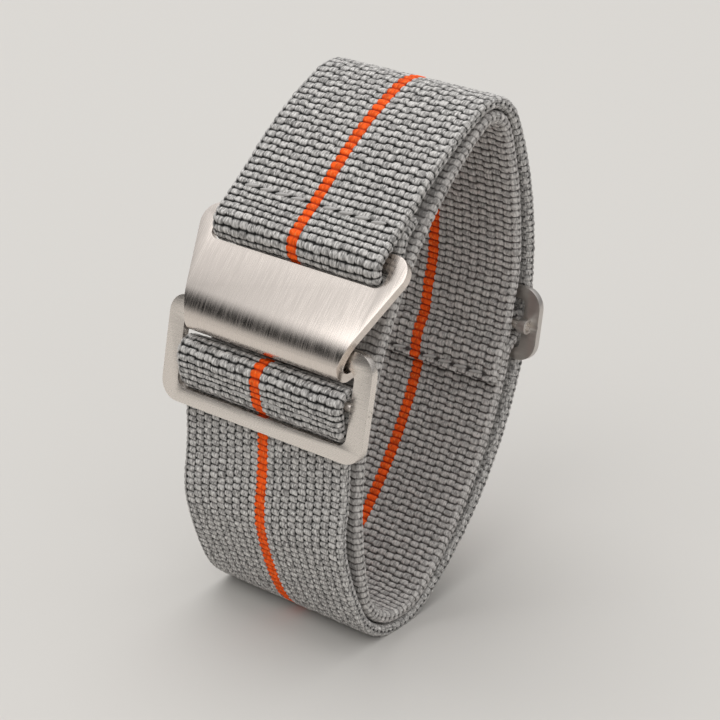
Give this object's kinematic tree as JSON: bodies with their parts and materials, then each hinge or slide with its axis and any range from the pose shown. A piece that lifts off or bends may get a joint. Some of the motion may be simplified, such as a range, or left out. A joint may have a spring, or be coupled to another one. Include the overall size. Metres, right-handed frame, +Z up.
{
  "type": "stretch watch band",
  "caption": "Closed elastic webbing watch band with an orange warp column, a steel hook clasp in a rectangular catch frame, and a steel slider frame that sets the length.",
  "frame": {"origin": "centre of the small flat under the bottom turn, on which the closed band stands", "axes": "+X across the webbing, -Y towards the clasp, +Z up along the loop"},
  "size_m": [0.0246, 0.0304, 0.0504],
  "materials": {
    "outer_webbing": "coarse plain weave with soft highlights",
    "inner_webbing": "coarse plain weave, darker inside the loop",
    "orange_column": "dyed warp column in the same weave",
    "sewing_thread": "matte polyester thread",
    "clasp_steel": "brushed along the strap, edges polished",
    "frame_steel": "fine satin",
    "bar_steel": "turned and polished"
  },
  "bodies": {
    "lower_turn": {"outer_bottom": "outer_webbing", "outer_back_lower": "outer_webbing", "outer_front_lower": "outer_webbing", "outer_stripe": "orange_column", "inner_bottom": "inner_webbing", "inner_front_lower": "inner_webbing", "inner_back_lower": "inner_webbing", "inner_stripe": "orange_column"},
    "clasp": {"outer_back": "outer_webbing", "inner_front": "inner_webbing", "catch_frame": "frame_steel", "catch_bar": "bar_steel", "catch_loop": "outer_webbing", "catch_seam": "sewing_thread"},
    "upper_turn": {"outer_top": "outer_webbing", "outer_back_upper": "outer_webbing", "outer_front_upper": "outer_webbing", "inner_top": "inner_webbing", "inner_front_upper": "inner_webbing", "inner_back_upper": "inner_webbing"},
    "hook": {"hook_plate": "clasp_steel", "hook_loop": "outer_webbing", "hook_seam": "sewing_thread"},
    "slider": {"slider_frame": "frame_steel", "slider_bar": "bar_steel", "slider_pocket": "inner_webbing", "slider_seam": "sewing_thread"}
  },
  "joints": [
    {"name": "stretch_lower", "type": "slide", "parent": "lower_turn", "child": "clasp", "axis": [0, 0, 1], "range_m": [0, 0.003], "stiffness_N_per_m": 400, "deforming": ["outer_back_lower", "outer_front_lower", "inner_front_lower", "inner_back_lower", "outer_stripe", "inner_stripe"]},
    {"name": "stretch_upper", "type": "slide", "parent": "clasp", "child": "upper_turn", "axis": [0, 0, 1], "range_m": [0, 0.003], "stiffness_N_per_m": 400, "deforming": ["outer_back_upper", "outer_front_upper", "inner_front_upper", "inner_back_upper"]},
    {"name": "hook_release", "type": "slide", "parent": "clasp", "child": "hook", "axis": [0, -0.2113, -0.9774], "range_m": [0, 0.0004], "stiffness_N_per_m": 300},
    {"name": "slider_travel", "type": "hinge", "parent": "clasp", "child": "slider", "pos_m": [0, -0.01677, 0.03206], "axis": [1, 0, 0], "range_deg": [-5, 5]}
  ],
  "couplings": [
    {"joint": "stretch_upper", "follows": "stretch_lower", "ratio": 1}
  ]
}
